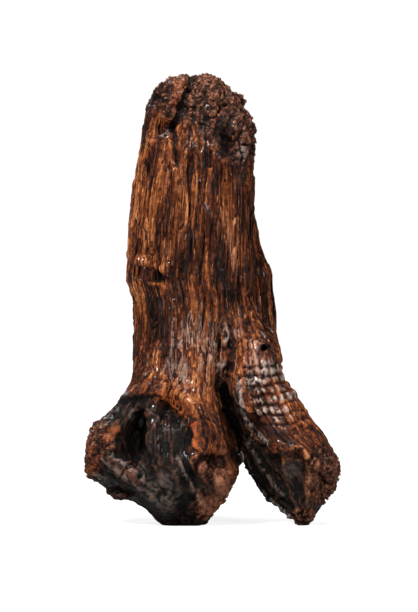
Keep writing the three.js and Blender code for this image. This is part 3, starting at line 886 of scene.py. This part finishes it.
on_trunk = np.clip(1 - rot - charred - 0.8 * on_folds, 0, 1) ** 2 * (z > 4) * (1 - keep) * (1 + 0.8 * front)
on_trunk *= wide_relief_shade > -1.2
STRANDS = {
    # name: count, least and most of length, width and lift, step (mm), middle and spread of the tint
    "open_fibres": (2300, (10, 48), (0.6, 1.4), (0.2, 1.0), 5.0, (0.5, 0.28)),
    "bark_flakes": (1300, (12, 60), (2.2, 6.0), (0.3, 0.9), 5.0, (0.42, 0.24)),
    "fibre_bits": (1900, (3, 10), (0.8, 2.4), (0.4, 1.3), 2.2, (0.55, 0.30)),
}
for name, (count, lengths, widths, lifts, step, tints) in STRANDS.items():
    chosen = spread(on_trunk, count)
    splinters(
        name,
        points[chosen],
        rng.uniform(*lengths, count),
        rng.uniform(*widths, count),
        rng.uniform(*lifts, count),
        step,
        {
            # Each strand takes its tint, with the painted light and shade in it, its painted sheen and its
            # orange from the place where it starts
            "tint": rng.normal(*tints, count) + 1.1 * patches[chosen],
            "painted_sheen": painted_sheen[chosen],
            "orange": orange[chosen],
        },
    )

# The crumbs. Rotten wood falls to small hard-edged grains, which still cling to the crown, the knobs
# and the broken ends. Each is an uneven eight-sided grain, pressed half into the surface.

CRUMBS = 6800
FLATTENED = 0.55  # share of a grain's height that is pressed away
RAISED = 0.05  # how far its middle stays out, in its own sizes
GRAIN_CORNERS = np.array([(1, 0, 0), (-1, 0, 0), (0, 1, 0), (0, -1, 0), (0, 0, 1), (0, 0, -1)], float)
GRAIN_FACES = np.array(
    [(4, 0, 2), (4, 2, 1), (4, 1, 3), (4, 3, 0), (5, 2, 0), (5, 1, 2), (5, 3, 1), (5, 0, 3)]
)
chosen = spread(rot**2 * (1 - keep) * (z > 3) * (1 + 1.5 * front), CRUMBS)
sizes = rng.uniform(0.45, 1.15, (CRUMBS, 1, 1)) ** 1.5 * MM
shapes = GRAIN_CORNERS * rng.uniform(0.45, 1.2, (CRUMBS, 6, 1)) * np.array([1, 1, 1.6])
turns, _ = np.linalg.qr(rng.normal(size=(CRUMBS, 3, 3)))
turns *= np.sign(np.linalg.det(turns))[:, None, None]
outward = normals[chosen][:, None, :]
corners = np.einsum("nij,nkj->nki", turns, shapes * sizes)
corners += outward * (RAISED * sizes - FLATTENED * (corners * outward).sum(axis=2, keepdims=True))
corners += points[chosen][:, None, :]
faces = GRAIN_FACES + 6 * np.arange(CRUMBS)[:, None, None]
net = bpy.data.meshes.new("rotten_crumbs")
net.from_pydata(corners.reshape(-1, 3).tolist(), [], faces.reshape(-1, 3).tolist())
crumb_piece = bpy.data.objects.new("rotten_crumbs", net)
bpy.context.scene.collection.objects.link(crumb_piece)
# The crumbs' colour values, with painted shade from how far the wood stands out, and the painted sheen
stains_and_shade = {
    "rot": np.ones(CRUMBS),
    "tint": rng.normal(0.5, 0.4, CRUMBS) + patches[chosen],
    "near_relief_shade": np.clip(0.5 + 0.9 * near_relief_shade[chosen] + rng.uniform(-0.15, 0.3, CRUMBS), 0, 1),
    "orange": orange[chosen],
    "wide_relief_shade": wide_shade_level[chosen],
    "painted_sheen": 0.5 * painted_sheen[chosen],
}
for label, values in stains_and_shade.items():
    layer = net.attributes.new(label, "FLOAT", "POINT")
    layer.data.foreach_set("value", np.repeat(values, 6).astype(np.float32))
net.materials.append(damp_wood)
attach(crumb_piece, "root")

# The studio: a flat disc of white paper in a white room, soft square lights above, in front, at the sides
# and behind, and a long lens that looks slightly down at the middle of the wood.

FLOOR_RADIUS = 1.5
GLOW = 0.85
bpy.ops.object.select_all(action="DESELECT")
bpy.ops.mesh.primitive_circle_add(vertices=96, radius=FLOOR_RADIUS, fill_type="NGON", location=(0, 0, 0))
floor = bpy.context.object
floor.name = "floor"
paper = bpy.data.materials.new("white_paper")
paper.use_nodes = True
sheet = paper.node_tree.nodes["Principled BSDF"]
sheet.inputs["Base Color"].default_value = (0.3, 0.3, 0.3, 1)
sheet.inputs["Roughness"].default_value = 0.9
sheet.inputs["Specular IOR Level"].default_value = 0.0
sheet.inputs["Emission Color"].default_value = (1, 1, 1, 1)

# The paper and the room are bright to the camera, but hardly light the wood
looked_at = paper.node_tree.nodes.new("ShaderNodeLightPath")
glow = paper.node_tree.nodes.new("ShaderNodeMath")
glow.operation = "MULTIPLY"
glow.inputs[1].default_value = GLOW
paper.node_tree.links.new(looked_at.outputs["Is Camera Ray"], glow.inputs[0])
paper.node_tree.links.new(glow.outputs[0], sheet.inputs["Emission Strength"])
floor.data.materials.append(paper)

world = bpy.data.worlds.new("white_room")
bpy.context.scene.world = world
world.use_nodes = True
room = world.node_tree
seen = room.nodes.new("ShaderNodeLightPath")
shade = room.nodes.new("ShaderNodeMapRange")
room.links.new(seen.outputs["Is Camera Ray"], shade.inputs["Value"])
shade.inputs["To Min"].default_value = 0.03
shade.inputs["To Max"].default_value = 1.05
room.links.new(shade.outputs["Result"], room.nodes["Background"].inputs["Strength"])
room.nodes["Background"].inputs["Color"].default_value = (1, 1, 1, 1)

# Each light's place and side (m), and its power (W)
LIT_AT = Vector((0, 0, 0.14))
for name, place_at, size, power in (
    ("top_light", (0.0, -0.2, 1.9), 1.2, 36),
    ("key_light", (-1.0, -1.3, 1.6), 0.5, 63),
    ("side_light", (1.4, -1.0, 0.9), 0.6, 18),
    ("front_light", (-0.2, -2.0, 0.2), 0.8, 7),
    ("back_light", (-0.7, 1.6, 1.2), 0.8, 14),
):
    data = bpy.data.lights.new(name, "AREA")
    data.energy = power
    data.size = size
    light = bpy.data.objects.new(name, data)
    bpy.context.scene.collection.objects.link(light)
    light.location = place_at
    light.rotation_mode = "QUATERNION"
    light.rotation_quaternion = (Vector(place_at) - LIT_AT).to_track_quat("Z", "Y")

SENSOR = 36  # mm, along the picture's height
VIEW_HEIGHT = 0.4071  # what the picture shows from top to bottom at the wood
DISTANCE = 4.0
ELEVATION = math.radians(3)
AIM = Vector((-0.0023, 0, 0.144))
lens = bpy.data.cameras.new("camera")
lens.sensor_width = SENSOR
lens.lens = SENSOR * DISTANCE / VIEW_HEIGHT
lens.clip_end = 100
camera = bpy.data.objects.new("camera", lens)
bpy.context.scene.collection.objects.link(camera)
away = Vector((0, -math.cos(ELEVATION), math.sin(ELEVATION)))
camera.location = AIM + away * DISTANCE
camera.rotation_mode = "QUATERNION"
camera.rotation_quaternion = away.to_track_quat("Z", "Y")
bpy.context.scene.camera = camera
bpy.context.scene.view_settings.view_transform = "Standard"
